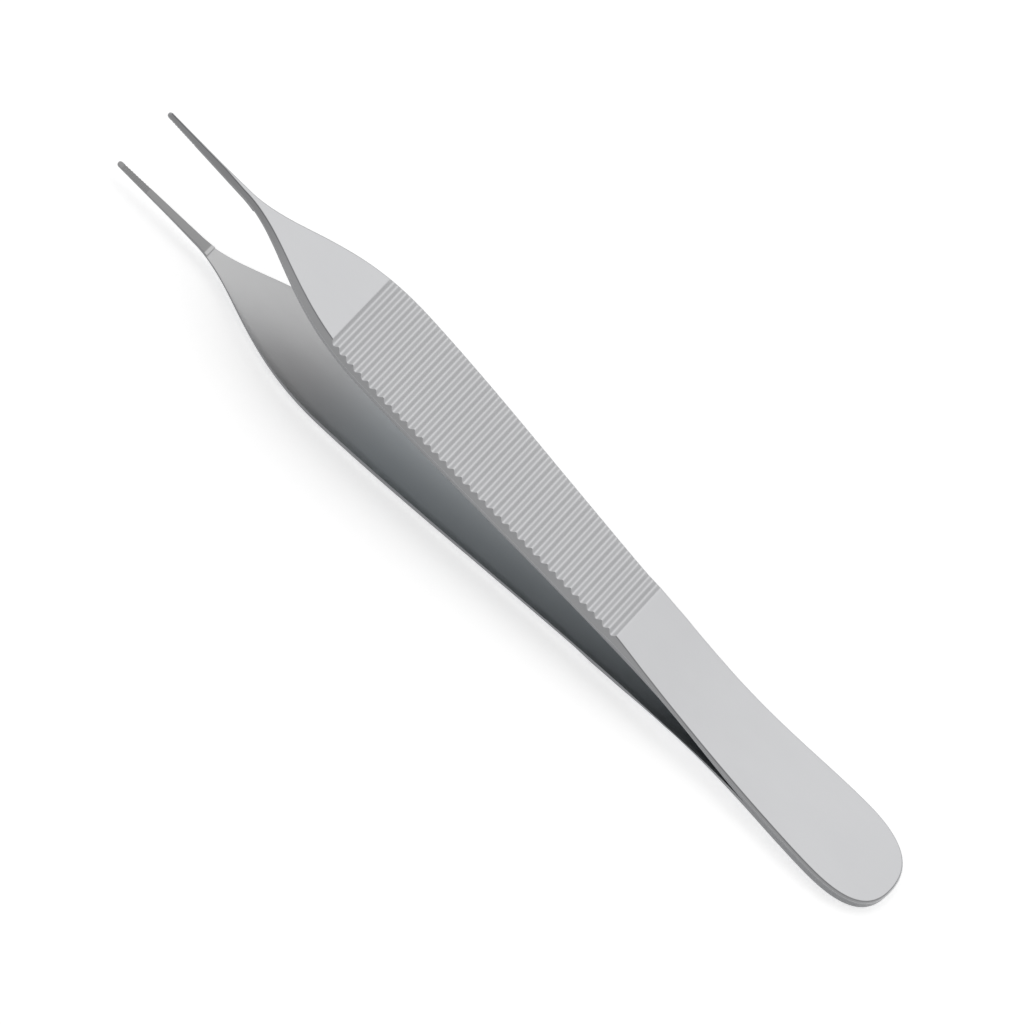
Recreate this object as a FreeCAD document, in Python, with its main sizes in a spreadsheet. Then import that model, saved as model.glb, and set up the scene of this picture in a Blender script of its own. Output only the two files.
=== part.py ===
import FreeCAD, Part
import math
import os

import Sketcher

# Thumb forceps, 12 cm long: two forged steel blades joined face to face at the heel.
# Each blade is drawn above the closing plane, with its tip at x = 0 and its heel at
# x = overall_length. The finished pair is then turned to lie as it rests on a table.

SIZES = {
    "overall_length": 120.0,
    # plan outline: half width at each station along the length
    "tip_half_width": 0.42,
    "neck_station": 12.0,
    "neck_half_width": 0.72,
    "shoulder_station": 37.5,
    "shoulder_half_width": 7.75,
    "waist_station": 84.0,
    "waist_half_width": 5.65,
    "heel_station": 111.5,
    "heel_half_width": 7.1,
    # how far the outline runs on past a station before it turns away
    "neck_reach": 6.5,
    "shoulder_reach": 12.0,
    "waist_reach": 12.0,
    "heel_reach": 6.5,
    "heel_corner_reach": 5.6,
    "heel_end_reach": 5.0,
    # outer face: height above the closing plane
    "tip_height": 6.05,
    "jaw_station": 20.0,
    "jaw_height": 5.8,
    "bow_reach": 19.0,
    "grip_end_station": 77.6,
    "grip_end_height": 2.95,
    "grip_end_slope": 0.062,
    "step_length": 1.8,
    "step_drop": 0.48,
    "spring_slope": 0.13,
    "spring_reach": 8.0,
    "heel_flat_station": 103.5,
    "heel_thickness": 0.65,
    # inner face: height above the closing plane
    "parting_station": 102.0,
    "parting_reach": 6.0,
    "web_station": 84.0,
    "web_thickness": 0.72,
    "web_slope": 0.065,
    "inner_reach": 20.0,
    "land_length": 14.5,
    "land_thickness": 0.77,
    "land_step": 0.14,
    "land_slope": 0.035,
    "tip_thickness": 0.55,
    "outer_edge_bevel": 0.27,
    # transverse ridges of the grip
    "ridge_count": 36,
    "ridge_start": 31.5,
    "ridge_pitch": 1.27,
    "ridge_crest": 0.4,
    "ridge_valley_floor": 0.2,
    "ridge_depth": 0.25,
    "ridge_recess": 0.05,
    "ridge_group": 4,
    "ridge_dip": 0.02,
    # fine cross serrations inside the tip
    "serration_count": 10,
    "serration_start": 0.7,
    "serration_pitch": 0.4,
    "serration_depth": 0.08,
}

# how far a cutting outline stands clear of the steel that it trims
MARGIN = 2.0


def make_sheet(doc):
    sheet = doc.addObject("Spreadsheet::Sheet", "sizes")
    for row, (name, value) in enumerate(SIZES.items(), start=1):
        sheet.set(f"A{row}", name)
        sheet.set(f"B{row}", str(value))
        sheet.setAlias(f"B{row}", name)
    doc.recompute()
    return sheet


def add_sketch(body, name, role):
    plane = next(item for item in body.Origin.OriginFeatures if item.Role == role)
    sketch = body.newObject("Sketcher::SketchObject", name)
    sketch.AttachmentSupport = [(plane, "")]
    sketch.MapMode = "FlatFace"
    return sketch


def flat(point):
    return FreeCAD.Vector(point[0], point[1], 0)


def line(start, end):
    return Part.LineSegment(flat(start), flat(end))


def curve(start, first_handle, last_handle, end):
    bezier = Part.BezierCurve()
    bezier.setPoles([flat(start), flat(first_handle), flat(last_handle), flat(end)])
    return bezier.toBSpline()


def sloped_curve(start, start_slope, start_reach, end, end_slope, end_reach):
    # leaves start and enters end on given slopes, running on for the given reaches
    first_handle = (start[0] + start_reach, start[1] + start_slope * start_reach)
    last_handle = (end[0] - end_reach, end[1] - end_slope * end_reach)
    return curve(start, first_handle, last_handle, end)


def height_on(profile_curve, station):
    # height of a profile curve at a station along the length
    low, high = profile_curve.FirstParameter, profile_curve.LastParameter
    for _ in range(50):
        middle = (low + high) / 2
        if profile_curve.value(middle).x < station:
            low = middle
        else:
            high = middle
    return profile_curve.value(low).y


def tie(sketch, index, end, across, up):
    # hold the end of a line or curve at the place that the sheet gives
    point = sketch.getPoint(index, end)
    for kind, value, alias in (("DistanceX", point.x, across), ("DistanceY", point.y, up)):
        constraint = Sketcher.Constraint(kind, -1, 1, index, end, value)
        number = sketch.addConstraint(constraint)
        sketch.setExpression(f"Constraints[{number}]", f"sizes.{alias}")


def grip_curve(sheet):
    # the bowed outer face, from the jaw to the rear end of the grip
    jaw = (sheet.jaw_station, sheet.jaw_height)
    grip_end = (sheet.grip_end_station, sheet.grip_end_height)
    jaw_slope = (sheet.jaw_height - sheet.tip_height) / sheet.jaw_station
    reach = sheet.bow_reach
    return sloped_curve(jaw, jaw_slope, reach, grip_end, -sheet.grip_end_slope, reach)


def land_line(sheet):
    # the flat inner land of the tip, from its back edge to its front edge
    outer_slope = (sheet.jaw_height - sheet.tip_height) / sheet.jaw_station
    outer_height = sheet.tip_height + outer_slope * sheet.land_length
    back = (sheet.land_length, outer_height - sheet.land_thickness)
    front = (0, sheet.tip_height - sheet.tip_thickness)
    return back, front


def outer_face_outline(sheet):
    tip = (0, sheet.tip_height)
    jaw = (sheet.jaw_station, sheet.jaw_height)
    grip_end = (sheet.grip_end_station, sheet.grip_end_height)
    spring = (grip_end[0] + sheet.step_length, grip_end[1] - sheet.step_drop)
    step_reach = sheet.step_length / 3
    heel_flat = (sheet.heel_flat_station, sheet.heel_thickness)
    return [
        line(tip, jaw),
        grip_curve(sheet),
        sloped_curve(
            grip_end, -sheet.grip_end_slope, step_reach, spring, -sheet.spring_slope, step_reach
        ),
        sloped_curve(
            spring, -sheet.spring_slope, sheet.spring_reach, heel_flat, 0, sheet.spring_reach
        ),
        line(heel_flat, (sheet.overall_length, sheet.heel_thickness)),
    ]


def inner_face_outline(sheet, spring_curve):
    parting = (sheet.parting_station, 0)
    web_height = height_on(spring_curve, sheet.web_station) - sheet.web_thickness
    web = (sheet.web_station, web_height)
    land_back, land_front = land_line(sheet)
    step_foot = (land_back[0] + sheet.land_step, land_back[1] + sheet.land_step)
    return [
        line((sheet.overall_length, 0), parting),
        sloped_curve(
            parting, 0, -sheet.parting_reach, web, -sheet.web_slope, -sheet.parting_reach
        ),
        sloped_curve(
            web, -sheet.web_slope, -sheet.inner_reach, step_foot, -sheet.land_slope, -sheet.inner_reach
        ),
        line(step_foot, land_back),
        line(land_back, land_front),
    ]


def add_blank(body, sheet):
    # side view of the blade, padded wider than its widest point
    sketch = add_sketch(body, "side_view", "XZ_Plane")
    outer = outer_face_outline(sheet)
    inner = inner_face_outline(sheet, outer[3])
    heel_end = line((sheet.overall_length, sheet.heel_thickness), (sheet.overall_length, 0))
    tip_end = line(land_line(sheet)[1], (0, sheet.tip_height))
    sketch.addGeometry(outer + [heel_end] + inner + [tip_end], False)
    tie(sketch, 0, 2, "jaw_station", "jaw_height")
    tie(sketch, 1, 2, "grip_end_station", "grip_end_height")
    tie(sketch, 3, 2, "heel_flat_station", "heel_thickness")
    tie(sketch, 4, 2, "overall_length", "heel_thickness")
    pad = body.newObject("PartDesign::Pad", "blank")
    pad.Profile = sketch
    pad.Midplane = True
    pad.setExpression("Length", f"2 * sizes.shoulder_half_width + {2 * MARGIN}")


def half_outline(sheet, side):
    # plan outline on one side of the middle line, from the tip to the heel's end
    corner = sheet.tip_half_width
    front = (corner, side * sheet.tip_half_width)
    neck = (sheet.neck_station, side * sheet.neck_half_width)
    shoulder = (sheet.shoulder_station, side * sheet.shoulder_half_width)
    waist = (sheet.waist_station, side * sheet.waist_half_width)
    heel = (sheet.heel_station, side * sheet.heel_half_width)
    heel_corner = (heel[0] + sheet.heel_corner_reach, heel[1])
    end = (sheet.overall_length, 0)
    end_handle = (sheet.overall_length, side * sheet.heel_end_reach)
    neck_slope = (neck[1] - front[1]) / (neck[0] - front[0])
    shoulder_reach = sheet.shoulder_reach
    return [
        line(front, neck),
        sloped_curve(neck, neck_slope, sheet.neck_reach, shoulder, 0, shoulder_reach),
        sloped_curve(shoulder, 0, shoulder_reach, waist, 0, sheet.waist_reach),
        sloped_curve(waist, 0, sheet.waist_reach, heel, 0, sheet.heel_reach),
        curve(heel, heel_corner, end_handle, end),
    ]


def cut_plan_outline(body, sheet):
    # trim the blank to the outline seen from above
    sketch = add_sketch(body, "plan_view", "XY_Plane")
    left = half_outline(sheet, 1)
    right = half_outline(sheet, -1)
    nose_centre = FreeCAD.Vector(sheet.tip_half_width, 0, 0)
    nose_circle = Part.Circle(nose_centre, FreeCAD.Vector(0, 0, 1), sheet.tip_half_width)
    nose = Part.ArcOfCircle(nose_circle, math.pi / 2, 3 * math.pi / 2)
    edge = sheet.shoulder_half_width + 2 * MARGIN
    back = sheet.overall_length + MARGIN
    corners = [(-MARGIN, -edge), (back, -edge), (back, edge), (-MARGIN, edge)]
    frame = [line(corners[i - 1], corners[i]) for i in range(4)]
    sketch.addGeometry(left + right + [nose] + frame, False)
    tie(sketch, 0, 2, "neck_station", "neck_half_width")
    tie(sketch, 1, 2, "shoulder_station", "shoulder_half_width")
    tie(sketch, 2, 2, "waist_station", "waist_half_width")
    tie(sketch, 3, 2, "heel_station", "heel_half_width")
    add_through_cut(body, "plan_trim", sketch)


def add_through_cut(body, name, sketch):
    pocket = body.newObject("PartDesign::Pocket", name)
    pocket.Profile = sketch
    pocket.Type = "ThroughAll"
    pocket.Midplane = True
    return pocket


def cut_serrations(body, sheet):
    # a saw-tooth outline across the inner land, close behind the tip
    sketch = add_sketch(body, "serration_view", "XZ_Plane")
    back, front = land_line(sheet)
    slope = (back[1] - front[1]) / back[0]

    def land_point(station, depth):
        return (station, front[1] + slope * station + depth)

    pitch = sheet.serration_pitch
    below = -sheet.serration_depth
    start = sheet.serration_start
    points = [land_point(start, below)]
    for tooth in range(int(sheet.serration_count)):
        station = start + tooth * pitch
        points.append(land_point(station, 0))
        points.append(land_point(station + pitch / 2, sheet.serration_depth))
    finish = start + int(sheet.serration_count) * pitch
    points.append(land_point(finish, 0))
    points.append(land_point(finish, below))
    sketch.addGeometry([line(points[i - 1], points[i]) for i in range(len(points))], False)
    add_through_cut(body, "serrations", sketch)


def outer_rim(shape):
    # names of the edges that bound the outer face all round
    outer = [face for face in shape.Faces if face_normal(face).z > 0.3]
    names = []
    for index, edge in enumerate(shape.Edges, start=1):
        owners = [face for face in outer if any(edge.isSame(own) for own in face.Edges)]
        if len(owners) == 1:
            names.append(f"Edge{index}")
    return names


def face_normal(face):
    low_u, high_u, low_v, high_v = face.ParameterRange
    return face.normalAt((low_u + high_u) / 2, (low_v + high_v) / 2)


def bevel_outer_edges(body, doc):
    doc.recompute()
    base = body.Tip
    bevel = body.newObject("PartDesign::Chamfer", "outer_edges")
    bevel.Base = (base, outer_rim(base.Shape))
    bevel.setExpression("Size", "sizes.outer_edge_bevel")


def cut_ridges(body, sheet):
    # a row of valleys across the bowed face, cut through the bevelled edges; the first
    # ridge of each group stands a hair proud of the rest, so the bow rests on few ridges
    sketch = add_sketch(body, "ridge_view", "XZ_Plane")
    surface = grip_curve(sheet)

    def wave_point(station, depth):
        return (station, height_on(surface, station) - sheet.ridge_recess - depth)

    def crest_dip(crest):
        return sheet.ridge_dip if crest % int(sheet.ridge_group) else 0

    half_valley = sheet.ridge_valley_floor / 2
    half_mouth = (sheet.ridge_pitch - sheet.ridge_crest) / 2
    points = []
    for index in range(int(sheet.ridge_count)):
        centre = sheet.ridge_start + index * sheet.ridge_pitch
        points.append(wave_point(centre - half_mouth, crest_dip(index - 1)))
        points.append(wave_point(centre - half_valley, sheet.ridge_depth))
        points.append(wave_point(centre + half_valley, sheet.ridge_depth))
        points.append(wave_point(centre + half_mouth, crest_dip(index)))
    top = points[0][1] + MARGIN
    points.append((points[-1][0] + MARGIN, top))
    points.append((points[0][0] - MARGIN, top))
    sketch.addGeometry([line(points[i - 1], points[i]) for i in range(len(points))], False)
    add_through_cut(body, "ridges", sketch)


def make_blade(doc, sheet, label):
    body = doc.addObject("PartDesign::Body", label)
    body.Label = label
    add_blank(body, sheet)
    cut_plan_outline(body, sheet)
    cut_serrations(body, sheet)
    bevel_outer_edges(body, doc)
    cut_ridges(body, sheet)
    doc.recompute()
    return body


def rest_slope(shape):
    # the slope of the two lowest points that the blade stands on under its centre
    centre = shape.Solids[0].CenterOfMass.x
    points = sorted({(round(p.x, 3), round(p.z, 3)) for p in shape.tessellate(0.02)[0]})
    hull = []
    for point in points:
        while len(hull) > 1 and not turns_up(hull[-2], hull[-1], point):
            hull.pop()
        hull.append(point)
    for left, right in zip(hull, hull[1:]):
        if left[0] <= centre <= right[0]:
            return (right[1] - left[1]) / (right[0] - left[0])
    return 0.0


def turns_up(first, second, third):
    run = (second[0] - first[0]) * (third[1] - first[1])
    rise = (second[1] - first[1]) * (third[0] - first[0])
    return run > rise


def lay_down(upper, lower):
    # the lower blade is the same blade turned over; both then lie as they come to rest
    turned_over = FreeCAD.Rotation(FreeCAD.Vector(1, 0, 0), 180)
    lower.Placement = FreeCAD.Placement(FreeCAD.Vector(0, 0, 0), turned_over)
    tilt = math.degrees(math.atan(rest_slope(lower.Shape)))
    lying = FreeCAD.Placement(
        FreeCAD.Vector(0, 0, 0), FreeCAD.Rotation(FreeCAD.Vector(0, 1, 0), tilt)
    )
    upper.Placement = lying
    lower.Placement = lying.multiply(lower.Placement)
    points = upper.Shape.tessellate(0.02)[0] + lower.Shape.tessellate(0.02)[0]
    middle = (min(p.x for p in points) + max(p.x for p in points)) / 2
    move = FreeCAD.Placement(
        FreeCAD.Vector(-middle, 0, -min(p.z for p in points)), FreeCAD.Rotation()
    )
    upper.Placement = move.multiply(upper.Placement)
    lower.Placement = move.multiply(lower.Placement)


def check(doc, bodies):
    for item in doc.Objects:
        if "Invalid" in item.State or "Error" in item.State:
            raise RuntimeError(f"{item.Name} failed: {item.State}")
    for body in bodies:
        if body.Shape.isNull() or not body.Shape.isValid() or len(body.Shape.Solids) != 1:
            raise RuntimeError(f"{body.Label} is not one valid solid")


def main():
    os.makedirs("parts", exist_ok=True)
    doc = FreeCAD.newDocument("thumb_forceps")
    sheet = make_sheet(doc)
    upper = make_blade(doc, sheet, "upper_blade")
    lower = make_blade(doc, sheet, "lower_blade")
    check(doc, (upper, lower))
    lay_down(upper, lower)
    doc.recompute()
    check(doc, (upper, lower))
    for body in (upper, lower):
        body.Shape.exportStep(f"parts/{body.Label}.step")
        print(body.Label, "volume", round(body.Shape.Volume, 1), body.Placement)


main()
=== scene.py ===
import math

import bmesh
import bpy
import numpy as np
from mathutils import Matrix, Vector


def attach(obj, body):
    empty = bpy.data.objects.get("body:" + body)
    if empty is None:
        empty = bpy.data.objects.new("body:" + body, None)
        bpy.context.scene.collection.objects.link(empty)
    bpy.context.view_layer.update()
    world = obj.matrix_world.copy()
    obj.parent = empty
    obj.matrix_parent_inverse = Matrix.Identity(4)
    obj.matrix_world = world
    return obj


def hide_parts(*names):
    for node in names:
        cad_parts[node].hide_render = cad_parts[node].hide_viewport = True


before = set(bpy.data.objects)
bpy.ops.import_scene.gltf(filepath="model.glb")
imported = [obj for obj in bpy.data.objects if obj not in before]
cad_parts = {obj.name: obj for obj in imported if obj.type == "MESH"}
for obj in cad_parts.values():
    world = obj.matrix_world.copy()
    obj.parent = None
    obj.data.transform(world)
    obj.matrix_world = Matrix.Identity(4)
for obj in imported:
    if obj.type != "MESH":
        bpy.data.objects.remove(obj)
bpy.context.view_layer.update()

# Thumb forceps, 12 cm long, of satin stainless steel. Each blade is drawn in millimetres
# above the closing plane, tip at x = 0 and heel at x = LENGTH, then laid down as it rests.

MM = 0.001
LENGTH = 120.0

# plan outline: station along the blade and half width there
TIP_HALF_WIDTH = 0.42
NECK = (12.5, 0.73)
SHOULDER = (36.5, 7.75)
WAIST = (84.0, 5.75)
HEEL = (111.5, 7.1)
NECK_REACH = 7.0
SHOULDER_REACH = 12.5
WAIST_REACH = 12.0
HEEL_REACH = 6.5
HEEL_CORNER_REACH = 5.6
HEEL_END_REACH = 5.0

# side view: station along the blade and height above the closing plane
TIP_HEIGHT = 6.05
JAW = (20.0, 5.8)
BOW_START_REACH = 20.0
BOW_END_REACH = 15.0
GRIP_END = (77.5, 2.93)
GRIP_END_SLOPE = 0.062
SPRING_START = (82.0, 2.3)
SPRING_SLOPE = 0.15
SPRING_REACH = 8.0
HEEL_FLAT = (103.5, 0.65)
PARTING_STATION = 102.0
PARTING_REACH = 6.0
WEB_STATION = 84.0
WEB_THICKNESS = 0.62
WEB_SLOPE = 0.065
INNER_REACH = 20.0
LAND_LENGTH = 14.5
LAND_THICKNESS = 0.77
LAND_STEP = 0.14
LAND_SLOPE = 0.035
TIP_THICKNESS = 0.55

# bevel of the outer edges: station along the blade and width there
EDGE_BEVEL = (
    (0, 0.42), (9, 0.6), (12, 0.45), (16, 0.48), (25, 0.64), (37, 0.64), (48, 0.68),
    (60, 0.78), (75, 0.8), (78, 0.62), (82, 0.36), (86, 0.27), (120, 0.25),
)
SIDE_HEIGHT = 0.2
BEVEL_FOOT_BLEND = 0.06
BEVEL_TOP_BLEND = 0.14
INNER_ROUNDING = 0.03
# the rounding counts as inner face up to this angle, in radians
INNER_ROUNDING_TURN = 1
# least half width left to the outer face, and least distance of the bevel from the middle
LEAST_FACE = 0.05
LEAST_MIDDLE = 0.01
# share of the top blend that runs on over the outer face
CROWN_SPREAD = 0.6
# the bevel's drop follows the blade's thickness read at stations this far apart
THICKNESS_SPACING = 8

# cross ridges of the grip and cross serrations inside the tip
RIDGE_FIRST = 31.5
RIDGE_PITCH = 1.2563
RIDGE_COUNT = 37
RIDGE_DEPTH = 0.25
RIDGE_RECESS = 0.05
RIDGE_BLEND = 0.05
SERRATION_FIRST = 0.9
SERRATION_PITCH = 0.4
SERRATION_COUNT = 10
SERRATION_DEPTH = 0.08
SERRATION_BLEND = 0.01

# a row of grooves fades in and out between these shares of the pitch past its ends
FADE_NEAR = 0.3
FADE_FAR = 0.55

# how finely the outline is divided lengthwise: first station, last station and spacing
SERRATED_DIVISION = (0.46, 5.4, 0.05)
JAW_DIVISION = (5.5, 14.3, 0.3)
SHOULDER_DIVISION = (15.0, 30.6, 0.4)
RIDGED_DIVISION = (30.7, 77.6, RIDGE_PITCH / 16)
GRIP_END_DIVISION = (77.6, 79.6, RIDGE_PITCH / 16)
SPRING_DIVISION = (79.8, 111.3, 0.5)
# stations close round the step behind the land
LAND_STEP_STATIONS = (14.4, 14.46, 14.5, 14.55, 14.6, 14.64, 14.68, 14.75)
# how finely a curve, the nose of the tip and the end of the heel are divided
CURVE_POINTS = 400
NOSE_POINTS = 10
HEEL_POINTS = 40

# how finely half a section is divided, from the inner face to the outer face
INNER_COLUMNS = 6
LIP_POINTS = 4
FOOT_POINTS = 4
BEVEL_COLUMNS = 10
CROWN_POINTS = 5
OUTER_COLUMNS = 15

# points closer than this, in metres, are merged
MERGE_DISTANCE = 1e-7
# edges that turn by more than this, in degrees, stay sharp
SHARP_ANGLE = 50

# values of the attribute "turn" on the faces of a blade
INNER_FACE, SIDE, BEVEL, OUTER_FACE = -1.0, 0.0, 0.5, 1.0

# where the masks of the faces rise and fall on that attribute
INNER_FALL = (-0.9, -0.5)
SIDE_BAND = ((-0.4, -0.05), (0.05, 0.4))
BEVEL_BAND = ((0.1, 0.45), (0.55, 0.9))
CROWN_BAND = ((0.5, 0.62), (0.8, 0.97))
# share of a ridge's full cut over which the painted shade on the bevel dies out
RIDGED_RISE = (0, 0.15)

# where the tone and its painted shade change along the lying forceps, in metres
LAND_FALL = (-0.04605, -0.0459)
TIP_FALL = (-0.045, -0.036)
MIDDLE_SHADE_RISE = (-0.046, -0.024)
DEEP_SHADE_RISE = (-0.031, -0.014)

# darkest and lightest colour of the steel on each kind of face
FACE_TONES = ((0.585, 0.588, 0.6, 1), (0.672, 0.675, 0.686, 1))
LAND_TONES = ((0.28, 0.28, 0.282, 1), (0.35, 0.35, 0.352, 1))
JAW_TONES = ((0.502, 0.503, 0.507, 1), (0.588, 0.589, 0.592, 1))
# painted shade: the inner face is darkened towards the heel, bluish grey in its deepest part,
# standing in for the shade where the blades close over it
MIDDLE_SHADE_TONES = ((0.409, 0.41, 0.415, 1), (0.475, 0.476, 0.481, 1))
DEEP_SHADE_TONES = ((0.393, 0.412, 0.427, 1), (0.457, 0.478, 0.492, 1))
# painted shade: the sides and bevel edges get this darker steel, standing in for the dim
# surroundings they mirror
SHADED_EDGE_TONES = ((0.25, 0.253, 0.261, 1), (0.297, 0.3, 0.308, 1))

# how far the bevel and its upper edge take on the painted shade, a darker tone standing in for the
# dim surroundings they mirror
BEVEL_SHADE = 0.1
TIP_BEVEL_SHADE = 0.32
CROWN_SHADE = 0.65

# patterns of the steel: how many fine marks lie in a metre along, across and up
GRAIN_SCALE = (5200, 5200, 5200)
LINE_SCALE = (90, 2600, 2600)
CLOUD_SCALE = (60, 110, 110)

# detail of each pattern, and roughness of the noise in the lines
GRAIN_DETAIL = 2
LINE_DETAIL = 3
CLOUD_DETAIL = 2
LINE_NOISE_ROUGHNESS = 0.6
# share of each pattern in the tone
CLOUD_IN_TONE = 0.5
LINES_IN_TONE = 0.35
GRAIN_IN_TONE = 0.25

# finish of the steel, and what the patterns and the inner face add to its roughness
ROUGHNESS = 0.36
GRAIN_ROUGHNESS = 0.1
LINE_ROUGHNESS = 0.12
INNER_ROUGHNESS = 0.04
BUMP_STRENGTH = 0.25
BUMP_DISTANCE = 0.00001
LINES_IN_BUMP = 1.5

# floor: half its width in metres, its colour as it lights the forceps, and its colour
# and glow as it is seen or mirrored
FLOOR_HALF = 3.0
FLOOR_COLOUR = (0.7, 0.7, 0.7, 1)
SEEN_FLOOR_COLOUR = (1.0, 1.0, 1.0, 1)
NO_GLOW = (0, 0, 0, 1)
SEEN_FLOOR_GLOW = (0.46, 0.46, 0.46, 1)

# light of the room, brighter high up behind the forceps, dimmer to the ends and overhead
ROOM_STRENGTH = 0.45
BRIGHT_STRENGTH = 0.33
BRIGHT_DIRECTION = (0.0, 0.75, 0.66)
BRIGHT_RISE = (-0.1, 0.9)
END_DIMMING = 0.35
END_RISE = (0.2, 0.8)
OVERHEAD_DIRECTION = (0.0, -0.17, 0.985)
OVERHEAD_DIMMING = 0.35
OVERHEAD_RISE = (0.86, 0.97)
LAMP_SIZE = 1.2
LAMP_POWER = 1.1
LAMP_PLACE = (0.1, 0.9, 1.1)

# camera: distance and width of the picture in metres, roll in degrees
CAMERA_DISTANCE = 1.885
PICTURE_WIDTH = 0.11565
CAMERA_ROLL = 45.3
CAMERA_DIRECTION = (-0.039, -0.7065, 0.7065)
SENSOR_WIDTH = 36.0
# station that the camera looks at, and how far it looks past the middle line
TARGET_STATION = 59.3
TARGET_SHIFT = 0.147
CLIP_RANGE = (0.01, 20.0)

# how the finished pair lies: tilt in degrees, and where the front end of the closing plane is
LYING_TILT = 3.24957
LYING_PLACE = (-59.7505, 0.0, 7.43609)


def bezier(start, first_handle, last_handle, end, count=CURVE_POINTS):
    t = np.linspace(0, 1, count + 1)[:, None]
    poles = [np.array(p, float) for p in (start, first_handle, last_handle, end)]
    return (
        (1 - t) ** 3 * poles[0]
        + 3 * (1 - t) ** 2 * t * poles[1]
        + 3 * (1 - t) * t**2 * poles[2]
        + t**3 * poles[3]
    )


def sloped_curve(start, start_slope, start_reach, end, end_slope, end_reach):
    first_handle = (start[0] + start_reach, start[1] + start_slope * start_reach)
    last_handle = (end[0] - end_reach, end[1] - end_slope * end_reach)
    return bezier(start, first_handle, last_handle, end)


def outer_profile():
    jaw_slope = (JAW[1] - TIP_HEIGHT) / JAW[0]
    parts = [
        np.array([(0, TIP_HEIGHT), JAW]),
        sloped_curve(JAW, jaw_slope, BOW_START_REACH, GRIP_END, -GRIP_END_SLOPE, BOW_END_REACH),
        np.array([GRIP_END, SPRING_START]),
        sloped_curve(SPRING_START, -SPRING_SLOPE, SPRING_REACH, HEEL_FLAT, 0, SPRING_REACH),
        np.array([HEEL_FLAT, (LENGTH, HEEL_FLAT[1])]),
    ]
    return np.vstack(parts)


OUTER = outer_profile()


def outer_height(x):
    return np.interp(x, OUTER[:, 0], OUTER[:, 1])


def inner_profile():
    web = (WEB_STATION, outer_height(WEB_STATION) - WEB_THICKNESS)
    land_front = (0, TIP_HEIGHT - TIP_THICKNESS)
    land_back = (LAND_LENGTH, outer_height(LAND_LENGTH) - LAND_THICKNESS)
    step_foot = (land_back[0] + LAND_STEP, land_back[1] + LAND_STEP)
    parts = [
        np.array([land_front, land_back]),
        sloped_curve(step_foot, -LAND_SLOPE, INNER_REACH, web, -WEB_SLOPE, INNER_REACH),
        sloped_curve(web, -WEB_SLOPE, PARTING_REACH, (PARTING_STATION, 0), 0, PARTING_REACH),
        np.array([(PARTING_STATION, 0), (LENGTH, 0)]),
    ]
    return np.vstack(parts)


INNER = inner_profile()


def inner_height(x):
    return np.interp(x, INNER[:, 0], INNER[:, 1])


def edge_bevel(x):
    stations, widths = zip(*EDGE_BEVEL)
    return np.interp(x, stations, widths)


def plan_outline():
    """Points of half the outline seen from above, from the nose to the heel's end, and the
    inward normal at each."""
    neck_slope = (NECK[1] - TIP_HALF_WIDTH) / (NECK[0] - TIP_HALF_WIDTH)
    angles = np.linspace(math.pi, math.pi / 2, NOSE_POINTS)
    nose = np.stack([1 + np.cos(angles), np.sin(angles)], axis=1) * TIP_HALF_WIDTH
    side = np.vstack([
        np.array([(TIP_HALF_WIDTH, TIP_HALF_WIDTH), NECK]),
        sloped_curve(NECK, neck_slope, NECK_REACH, SHOULDER, 0, SHOULDER_REACH)[1:],
        sloped_curve(SHOULDER, 0, SHOULDER_REACH, WAIST, 0, WAIST_REACH)[1:],
        sloped_curve(WAIST, 0, WAIST_REACH, HEEL, 0, HEEL_REACH)[1:],
    ])
    stations = np.concatenate([
        np.arange(*SERRATED_DIVISION),
        np.arange(*JAW_DIVISION),
        np.array(LAND_STEP_STATIONS),
        np.arange(*SHOULDER_DIVISION),
        np.arange(*RIDGED_DIVISION),
        np.arange(*GRIP_END_DIVISION),
        np.arange(*SPRING_DIVISION),
    ])
    sides = np.stack([stations, np.interp(stations, side[:, 0], side[:, 1])], axis=1)
    corner = (HEEL[0] + HEEL_CORNER_REACH, HEEL[1])
    end_handle = (LENGTH, HEEL_END_REACH)
    heel = bezier(HEEL, corner, end_handle, (LENGTH, 0), HEEL_POINTS)
    points = np.vstack([nose, sides, heel])
    ways = np.gradient(points, axis=0)
    ways[0], ways[-1] = (0, 1), (0, -1)
    normals = np.stack([ways[:, 1], -ways[:, 0]], axis=1)
    normals /= np.linalg.norm(normals, axis=1)[:, None]
    return points, normals


def rounded_corner(first, corner, last, count):
    """Points from first to last, bent softly towards the corner."""
    shares = np.linspace(0, 1, count)
    return [(1 - s) ** 2 * first + 2 * s * (1 - s) * corner + s**2 * last for s in shares]


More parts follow.
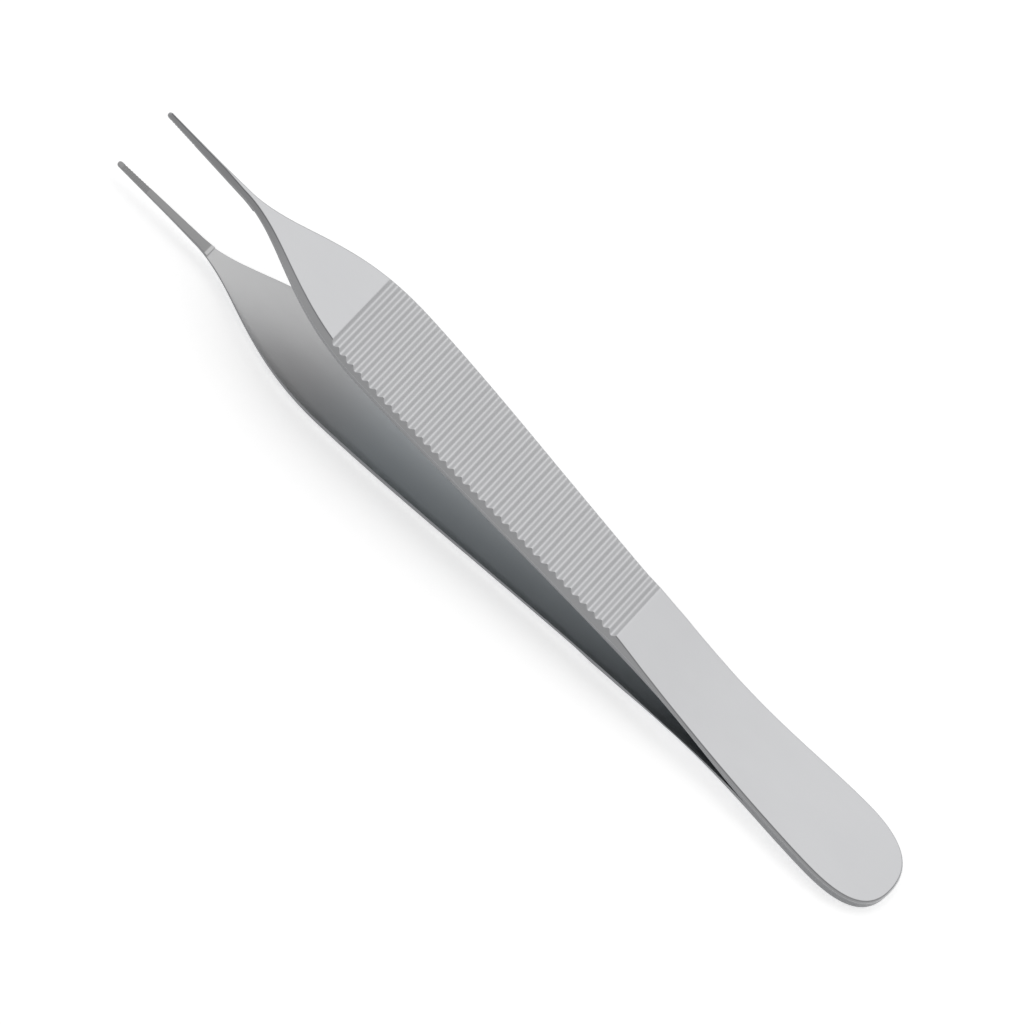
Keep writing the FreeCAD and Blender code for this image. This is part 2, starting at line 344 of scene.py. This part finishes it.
def half_section(points, normals):
    """Rows of points round one half of every section, from the middle of the inner face
    over the side and the bevel to the middle of the outer face, with the depth below the
    outer face, the height above the inner face, and a number that tells the faces apart."""
    rows = []
    top = outer_height(points[:, 0])
    half_width = np.maximum(points[:, 1], TIP_HALF_WIDTH)
    width = np.minimum(edge_bevel(points[:, 0]), half_width - LEAST_FACE)
    spaced = np.arange(0, LENGTH + 1, THICKNESS_SPACING)
    thickness = np.interp(points[:, 0], spaced, outer_height(spaced) - inner_height(spaced))
    drop = np.minimum(width, thickness - SIDE_HEIGHT)

    def add(x, y, z, turn):
        below, above = outer_height(x) - z, z - inner_height(x)
        rows.append((x, np.maximum(y, 0), z, below, above, turn + 0 * x))

    lip = points + INNER_ROUNDING * normals
    for share in np.linspace(0, 1, INNER_COLUMNS + 1)[:-1]:
        add(lip[:, 0], share * lip[:, 1], inner_height(lip[:, 0]), INNER_FACE)
    for angle in np.linspace(0, math.pi / 2, LIP_POINTS):
        place = points + INNER_ROUNDING * (1 - math.sin(angle)) * normals
        height = inner_height(place[:, 0]) + INNER_ROUNDING * (1 - math.cos(angle))
        turn = INNER_FACE if angle < INNER_ROUNDING_TURN else SIDE
        add(place[:, 0], place[:, 1], height, turn)

    def on_edge(inset, depth):
        return np.stack([inset + 0 * top, depth + 0 * top])

    slope = np.stack([width, -drop]) / np.hypot(width, drop)
    foot, crown = on_edge(0, drop), on_edge(width, 0)
    foot_start = foot + on_edge(0, BEVEL_FOOT_BLEND)
    foot_end = foot + BEVEL_FOOT_BLEND * slope
    crown_start = crown - BEVEL_TOP_BLEND * slope
    crown_end = crown + on_edge(CROWN_SPREAD * BEVEL_TOP_BLEND, 0)
    edge = rounded_corner(foot_start, foot, foot_end, FOOT_POINTS)
    turns = list(np.linspace(SIDE, BEVEL, FOOT_POINTS))
    for share in np.linspace(0, 1, BEVEL_COLUMNS + 1)[1:-1]:
        edge.append((1 - share) * foot_end + share * crown_start)
        turns.append(BEVEL)
    edge += rounded_corner(crown_start, crown, crown_end, CROWN_POINTS)
    turns += list(np.linspace(BEVEL, OUTER_FACE, CROWN_POINTS))
    for (inset, depth), turn in zip(edge, turns):
        inset = np.minimum(inset, half_width - LEAST_MIDDLE)
        place = points + inset[:, None] * normals
        add(place[:, 0], place[:, 1], outer_height(place[:, 0]) - depth, turn)
    last = points + np.minimum(edge[-1][0], half_width - LEAST_MIDDLE)[:, None] * normals
    for share in np.linspace(1, 0, OUTER_COLUMNS + 1)[1:]:
        add(last[:, 0], share * last[:, 1], outer_height(last[:, 0]), OUTER_FACE)
    return rows


def blade_mesh(name):
    """One smooth blade without its grooves, with the attributes that the rest reads."""
    points, normals = plan_outline()
    half = half_section(points, normals)
    ring = [(row, 1) for row in half] + [(row, -1) for row in half[-2:0:-1]]
    columns = len(ring)
    vertices, below, above, turns = [], [], [], []
    for station in range(len(points)):
        for (x, y, z, under, over, turn), side in ring:
            vertices.append((x[station] * MM, side * y[station] * MM, z[station] * MM))
            below.append(under[station] * MM)
            above.append(over[station] * MM)
            turns.append(turn[station])
    faces = []
    for station in range(len(points) - 1):
        for column in range(columns):
            following = (column + 1) % columns
            first, second = station * columns, (station + 1) * columns
            faces.append((first + column, first + following, second + following, second + column))
    mesh = bpy.data.meshes.new(name)
    mesh.from_pydata(vertices, [], faces)
    layers = {"below_outer_face": below, "above_inner_face": above, "turn": turns}
    for label, values in layers.items():
        layer = mesh.attributes.new(label, "FLOAT", "POINT")
        layer.data.foreach_set("value", values)
    work = bmesh.new()
    work.from_mesh(mesh)
    bmesh.ops.remove_doubles(work, verts=work.verts, dist=MERGE_DISTANCE)
    bmesh.ops.recalc_face_normals(work, faces=work.faces)
    work.to_mesh(mesh)
    work.free()
    return mesh


class Number:
    """A number in a node tree: the usual signs between numbers add Math nodes."""

    def __init__(self, maker, socket):
        self.maker, self.socket = maker, socket

    def __add__(self, other):
        return self.maker.math("ADD", self, other)

    def __sub__(self, other):
        return self.maker.math("SUBTRACT", self, other)

    def __rsub__(self, other):
        return self.maker.math("SUBTRACT", other, self)

    def __mul__(self, other):
        return self.maker.math("MULTIPLY", self, other)

    def __truediv__(self, other):
        return self.maker.math("DIVIDE", self, other)

    def __rtruediv__(self, other):
        return self.maker.math("DIVIDE", other, self)

    __radd__ = __add__
    __rmul__ = __mul__


class Maker:
    """Adds nodes to one tree. A node's settings are set first, then its sockets."""

    def __init__(self, tree):
        self.tree = tree

    def node(self, kind, settings=None, inputs=None):
        made = self.tree.nodes.new(kind)
        for name, value in (settings or {}).items():
            setattr(made, name, value)
        for key, value in (inputs or {}).items():
            if isinstance(value, Number):
                value = value.socket
            if isinstance(value, bpy.types.NodeSocket):
                self.tree.links.new(value, made.inputs[key])
            else:
                made.inputs[key].default_value = value
        return made

    def number(self, kind, settings=None, inputs=None, output=0):
        return Number(self, self.node(kind, settings, inputs).outputs[output])

    def math(self, operation, *values):
        return self.number("ShaderNodeMath", {"operation": operation}, dict(enumerate(values)))

    def between(self, value, low, high, smooth=True):
        """0 up to low, 1 from high, and a soft rise between them."""
        kind = "SMOOTHSTEP" if smooth else "LINEAR"
        return self.number(
            "ShaderNodeMapRange",
            {"interpolation_type": kind},
            {"Value": value, "From Min": low, "From Max": high},
        )

    def band(self, value, rise, fall):
        """1 from the end of the rise to the start of the fall, and 0 outside both."""
        return self.between(value, *rise) * (1 - self.between(value, *fall))

    def stretched(self, place, scale):
        """The place scaled along each axis, which makes a pattern on it that much finer."""
        return self.node(
            "ShaderNodeVectorMath", {"operation": "MULTIPLY"}, {0: place, 1: scale}
        ).outputs[0]

    def attribute(self, name):
        return self.number("ShaderNodeAttribute", {"attribute_name": name}, None, "Fac")

    def mixed(self, share, first, second):
        """The first colour where share is 0, the second where it is 1."""
        return self.node(
            "ShaderNodeMix", {"data_type": "RGBA"}, {0: share, 6: first, 7: second}
        ).outputs[2]


def groove_tree():
    """Geometry nodes that cut a row of soft cross grooves into a face, where an attribute
    says how far each point lies from that face."""
    tree = bpy.data.node_groups.new("cross_grooves", "GeometryNodeTree")
    wanted = (
        ("Geometry", "NodeSocketGeometry"),
        ("Distance attribute", "NodeSocketString"),
        ("First groove", "NodeSocketFloat"),
        ("Last groove", "NodeSocketFloat"),
        ("Pitch", "NodeSocketFloat"),
        ("Depth", "NodeSocketFloat"),
        ("Recess", "NodeSocketFloat"),
        ("Blend", "NodeSocketFloat"),
        ("Direction", "NodeSocketFloat"),
        ("Mark", "NodeSocketString"),
        ("Finish", "NodeSocketMaterial"),
    )
    for label, kind in wanted:
        tree.interface.new_socket(name=label, in_out="INPUT", socket_type=kind)
    tree.interface.new_socket(name="Geometry", in_out="OUTPUT", socket_type="NodeSocketGeometry")
    make = Maker(tree)
    given = make.node("NodeGroupInput").outputs
    first, last, pitch = (Number(make, given[n]) for n in ("First groove", "Last groove", "Pitch"))
    depth, recess, blend = (Number(make, given[n]) for n in ("Depth", "Recess", "Blend"))
    position = make.node("GeometryNodeInputPosition").outputs[0]
    along = make.number("ShaderNodeSeparateXYZ", None, {0: position}, "X")
    distance = make.number(
        "GeometryNodeInputNamedAttribute",
        {"data_type": "FLOAT"},
        {"Name": given["Distance attribute"]},
        "Attribute",
    )
    phase = (along - first) / pitch
    wave = make.math("COSINE", phase * (2 * math.pi)) * 0.5 + 0.5
    row_start = (first - pitch * FADE_FAR, first - pitch * FADE_NEAR)
    row_end = (last + pitch * FADE_NEAR, last + pitch * FADE_FAR)
    row = make.band(along, row_start, row_end)
    wanted_depth = (wave * depth + recess) * row
    deeper = make.math("SMOOTH_MAX", distance, wanted_depth, blend)
    cut = (deeper - distance) * row
    direction = Number(make, given["Direction"])
    offset = make.node("ShaderNodeCombineXYZ", None, {"Z": cut * direction})
    moved = make.node(
        "GeometryNodeSetPosition",
        None,
        {"Geometry": given["Geometry"], "Offset": offset.outputs[0]},
    )
    marked = make.node(
        "GeometryNodeStoreNamedAttribute",
        {"data_type": "FLOAT", "domain": "POINT"},
        {"Geometry": moved.outputs[0], "Name": given["Mark"], "Value": cut / (depth + recess)},
    )
    real = make.node("GeometryNodeRealizeInstances", None, {0: marked.outputs[0]})
    finished = make.node(
        "GeometryNodeSetMaterial", None, {"Geometry": real.outputs[0], "Material": given["Finish"]}
    )
    make.node("NodeGroupOutput", None, {0: finished.outputs[0]})
    return tree


def add_grooves(piece, tree, values):
    modifier = piece.modifiers.new("grooves", "NODES")
    modifier.node_group = tree
    for item in tree.interface.items_tree:
        if item.in_out == "INPUT" and item.name in values:
            modifier[item.identifier] = values[item.name]


def satin_steel(name, seed):
    """Satin stainless steel: a fine dull grain, faint lines along the blade and a slow cloud
    of tone. The sides, the bevel and its upper edge carry a painted shade for the dim room they
    mirror.
    The inner face goes from the dark land of the tip over a pale jaw to a bluish grey, painted
    shade, in its depth."""
    material = bpy.data.materials.new(name)
    material.use_nodes = True
    tree = material.node_tree
    tree.nodes.clear()
    make = Maker(tree)
    place = make.node("ShaderNodeTexCoord").outputs["Object"]

    def noise(scale, detail, roughness=0.5):
        return make.number(
            "ShaderNodeTexNoise",
            {"noise_dimensions": "4D"},
            {
                "Vector": make.stretched(place, scale),
                "W": seed,
                "Scale": 1,
                "Detail": detail,
                "Roughness": roughness,
            },
        )

    grain = noise(GRAIN_SCALE, GRAIN_DETAIL)
    lines = noise(LINE_SCALE, LINE_DETAIL, LINE_NOISE_ROUGHNESS)
    cloud = noise(CLOUD_SCALE, CLOUD_DETAIL)
    turn = make.attribute("turn")
    smooth_part = 1 - make.between(make.attribute("ridge_cut"), *RIDGED_RISE)
    side = make.band(turn, *SIDE_BAND)
    bevel = make.band(turn, *BEVEL_BAND) * smooth_part
    crown = make.band(turn, *CROWN_BAND) * smooth_part
    inner = 1 - make.between(turn, *INNER_FALL)
    along = make.number("ShaderNodeSeparateXYZ", None, {0: place}, "X")
    land = 1 - make.between(along, *LAND_FALL, smooth=False)
    tip = 1 - make.between(along, *TIP_FALL)
    middle = make.between(along, *MIDDLE_SHADE_RISE)
    deep = make.between(along, *DEEP_SHADE_RISE)
    tone = 0.5 + (cloud - 0.5) * CLOUD_IN_TONE
    tone = tone + (lines - 0.5) * LINES_IN_TONE + (grain - 0.5) * GRAIN_IN_TONE
    # painted shade on the inner face, deepening towards the heel where the blades close over it
    deep_painted_shade = make.mixed(deep, make.mixed(tone, *MIDDLE_SHADE_TONES), make.mixed(tone, *DEEP_SHADE_TONES))
    inner_tone_and_shade = make.mixed(middle, make.mixed(tone, *JAW_TONES), deep_painted_shade)
    inner_tone_and_shade = make.mixed(land, inner_tone_and_shade, make.mixed(tone, *LAND_TONES))
    colour = make.mixed(inner, make.mixed(tone, *FACE_TONES), inner_tone_and_shade)
    # painted shade: the sides, the bevel (more near the tip) and its upper edge are darkened for
    # the dim surroundings they mirror
    painted_edge_shade = side + bevel * (BEVEL_SHADE + tip * TIP_BEVEL_SHADE) + crown * CROWN_SHADE
    colour = make.mixed(painted_edge_shade, colour, make.mixed(tone, *SHADED_EDGE_TONES))
    roughness = ROUGHNESS + (grain - 0.5) * GRAIN_ROUGHNESS + (lines - 0.5) * LINE_ROUGHNESS
    roughness = roughness + inner * INNER_ROUGHNESS
    height = grain + lines * LINES_IN_BUMP
    bump = make.node(
        "ShaderNodeBump",
        None,
        {"Strength": BUMP_STRENGTH, "Distance": BUMP_DISTANCE, "Height": height},
    )
    shader = make.node(
        "ShaderNodeBsdfPrincipled",
        None,
        {"Base Color": colour, "Metallic": 1.0, "Roughness": roughness, "Normal": bump.outputs[0]},
    )
    make.node("ShaderNodeOutputMaterial", None, {"Surface": shader.outputs[0]})
    return material


def make_blade(name, turned_over, tree, finish):
    """One blade with its ridges and serrations cut, laid where it rests."""
    piece = bpy.data.objects.new(name, blade_mesh(name))
    bpy.context.scene.collection.objects.link(piece)
    add_grooves(piece, tree, {
        "Distance attribute": "below_outer_face",
        "First groove": RIDGE_FIRST * MM,
        "Last groove": (RIDGE_FIRST + (RIDGE_COUNT - 1) * RIDGE_PITCH) * MM,
        "Pitch": RIDGE_PITCH * MM,
        "Depth": RIDGE_DEPTH * MM,
        "Recess": RIDGE_RECESS * MM,
        "Blend": RIDGE_BLEND * MM,
        "Direction": -1.0,
        "Mark": "ridge_cut",
        "Finish": finish,
    })
    add_grooves(piece, tree, {
        "Distance attribute": "above_inner_face",
        "First groove": SERRATION_FIRST * MM,
        "Last groove": (SERRATION_FIRST + (SERRATION_COUNT - 1) * SERRATION_PITCH) * MM,
        "Pitch": SERRATION_PITCH * MM,
        "Depth": SERRATION_DEPTH * MM,
        "Recess": 0.0,
        "Blend": SERRATION_BLEND * MM,
        "Direction": 1.0,
        "Mark": "serration_cut",
        "Finish": finish,
    })
    evaluated = piece.evaluated_get(bpy.context.evaluated_depsgraph_get())
    made = bpy.data.meshes.new_from_object(evaluated)
    piece.modifiers.clear()
    piece.data = made
    lying = Matrix.Translation(Vector(LYING_PLACE) * MM)
    lying = lying @ Matrix.Rotation(math.radians(LYING_TILT), 4, "Y")
    if turned_over:
        lying = lying @ Matrix.Rotation(math.pi, 4, "X")
    made.transform(lying)
    made.shade_smooth()
    made.set_sharp_from_angle(angle=math.radians(SHARP_ANGLE))
    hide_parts(name)
    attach(piece, "root")
    return piece


def make_floor():
    """A wide pale floor, white as seen and as mirrored, that keeps the forceps' shadow."""
    mesh = bpy.data.meshes.new("floor")
    half = FLOOR_HALF
    corners = [(-half, -half, 0), (half, -half, 0), (half, half, 0), (-half, half, 0)]
    mesh.from_pydata(corners, [], [(0, 1, 2, 3)])
    floor = bpy.data.objects.new("floor", mesh)
    bpy.context.scene.collection.objects.link(floor)
    material = bpy.data.materials.new("pale_floor")
    material.use_nodes = True
    material.node_tree.nodes.clear()
    make = Maker(material.node_tree)
    ray = make.node("ShaderNodeLightPath").outputs
    seen = make.math("MAXIMUM", ray["Is Camera Ray"], ray["Is Glossy Ray"])
    seen = make.math("MAXIMUM", seen, ray["Is Transmission Ray"])
    colour = make.mixed(seen, FLOOR_COLOUR, SEEN_FLOOR_COLOUR)
    shade = make.node("ShaderNodeBsdfDiffuse", None, {"Color": colour}).outputs[0]
    paper = make.mixed(seen, NO_GLOW, SEEN_FLOOR_GLOW)
    glow = make.node("ShaderNodeEmission", None, {"Color": paper, "Strength": 1.0}).outputs[0]
    both = make.node("ShaderNodeAddShader", None, {0: shade, 1: glow}).outputs[0]
    make.node("ShaderNodeOutputMaterial", None, {"Surface": both})
    mesh.materials.append(material)


def make_light():
    """A soft room that is brighter high up behind the forceps, with one broad lamp."""
    world = bpy.data.worlds.new("studio")
    bpy.context.scene.world = world
    world.use_nodes = True
    world.node_tree.nodes.clear()
    make = Maker(world.node_tree)
    way = make.node("ShaderNodeTexCoord").outputs["Generated"]

    def nearness(direction):
        return make.number(
            "ShaderNodeVectorMath", {"operation": "DOT_PRODUCT"}, {0: way, 1: direction}, "Value"
        )

    endwise = make.math("ABSOLUTE", make.number("ShaderNodeSeparateXYZ", None, {0: way}, "X"))
    bright = make.between(nearness(BRIGHT_DIRECTION), *BRIGHT_RISE)
    bright = bright * (1 - make.between(endwise, *END_RISE) * END_DIMMING)
    strength = ROOM_STRENGTH + bright * BRIGHT_STRENGTH
    overhead = make.between(nearness(OVERHEAD_DIRECTION), *OVERHEAD_RISE)
    strength = strength * (1 - overhead * OVERHEAD_DIMMING)
    background = make.node(
        "ShaderNodeBackground", None, {"Color": (1, 1, 1, 1), "Strength": strength}
    )
    make.node("ShaderNodeOutputWorld", None, {"Surface": background.outputs[0]})
    lamp = bpy.data.lights.new("softbox", "AREA")
    lamp.shape = "DISK"
    lamp.size = LAMP_SIZE
    lamp.energy = LAMP_POWER
    holder = bpy.data.objects.new("softbox", lamp)
    bpy.context.scene.collection.objects.link(holder)
    holder.location = LAMP_PLACE
    holder.rotation_mode = "QUATERNION"
    holder.rotation_quaternion = Vector(LAMP_PLACE).to_track_quat("Z", "Y")


def make_camera():
    """Looks down at 45 degrees from the side, rolled so the forceps run corner to corner."""
    roll = math.radians(CAMERA_ROLL)
    lying = Matrix.Rotation(math.radians(LYING_TILT), 3, "Y")
    towards = (lying @ Vector(CAMERA_DIRECTION)).normalized()
    axis = lying @ Vector((1, 0, 0))
    along = (axis - axis.dot(towards) * towards).normalized()
    across = towards.cross(along)
    right = math.cos(roll) * along + math.sin(roll) * across
    up = -math.sin(roll) * along + math.cos(roll) * across
    target = lying @ Vector((TARGET_STATION * MM, 0, 0)) + Vector(LYING_PLACE) * MM
    target = target - TARGET_SHIFT * MM * across
    data = bpy.data.cameras.new("camera")
    data.sensor_width = SENSOR_WIDTH
    data.lens = SENSOR_WIDTH * CAMERA_DISTANCE / PICTURE_WIDTH
    data.clip_start, data.clip_end = CLIP_RANGE
    camera = bpy.data.objects.new("camera", data)
    bpy.context.scene.collection.objects.link(camera)
    turn = Matrix((right, up, towards)).transposed().to_4x4()
    camera.matrix_world = Matrix.Translation(target + CAMERA_DISTANCE * towards) @ turn
    bpy.context.scene.camera = camera


grooves = groove_tree()
make_blade("upper_blade", False, grooves, satin_steel("upper_satin_steel", 1.0))
make_blade("lower_blade", True, grooves, satin_steel("lower_satin_steel", 7.0))
make_floor()
make_light()
make_camera()
bpy.context.scene.view_settings.view_transform = "Standard"
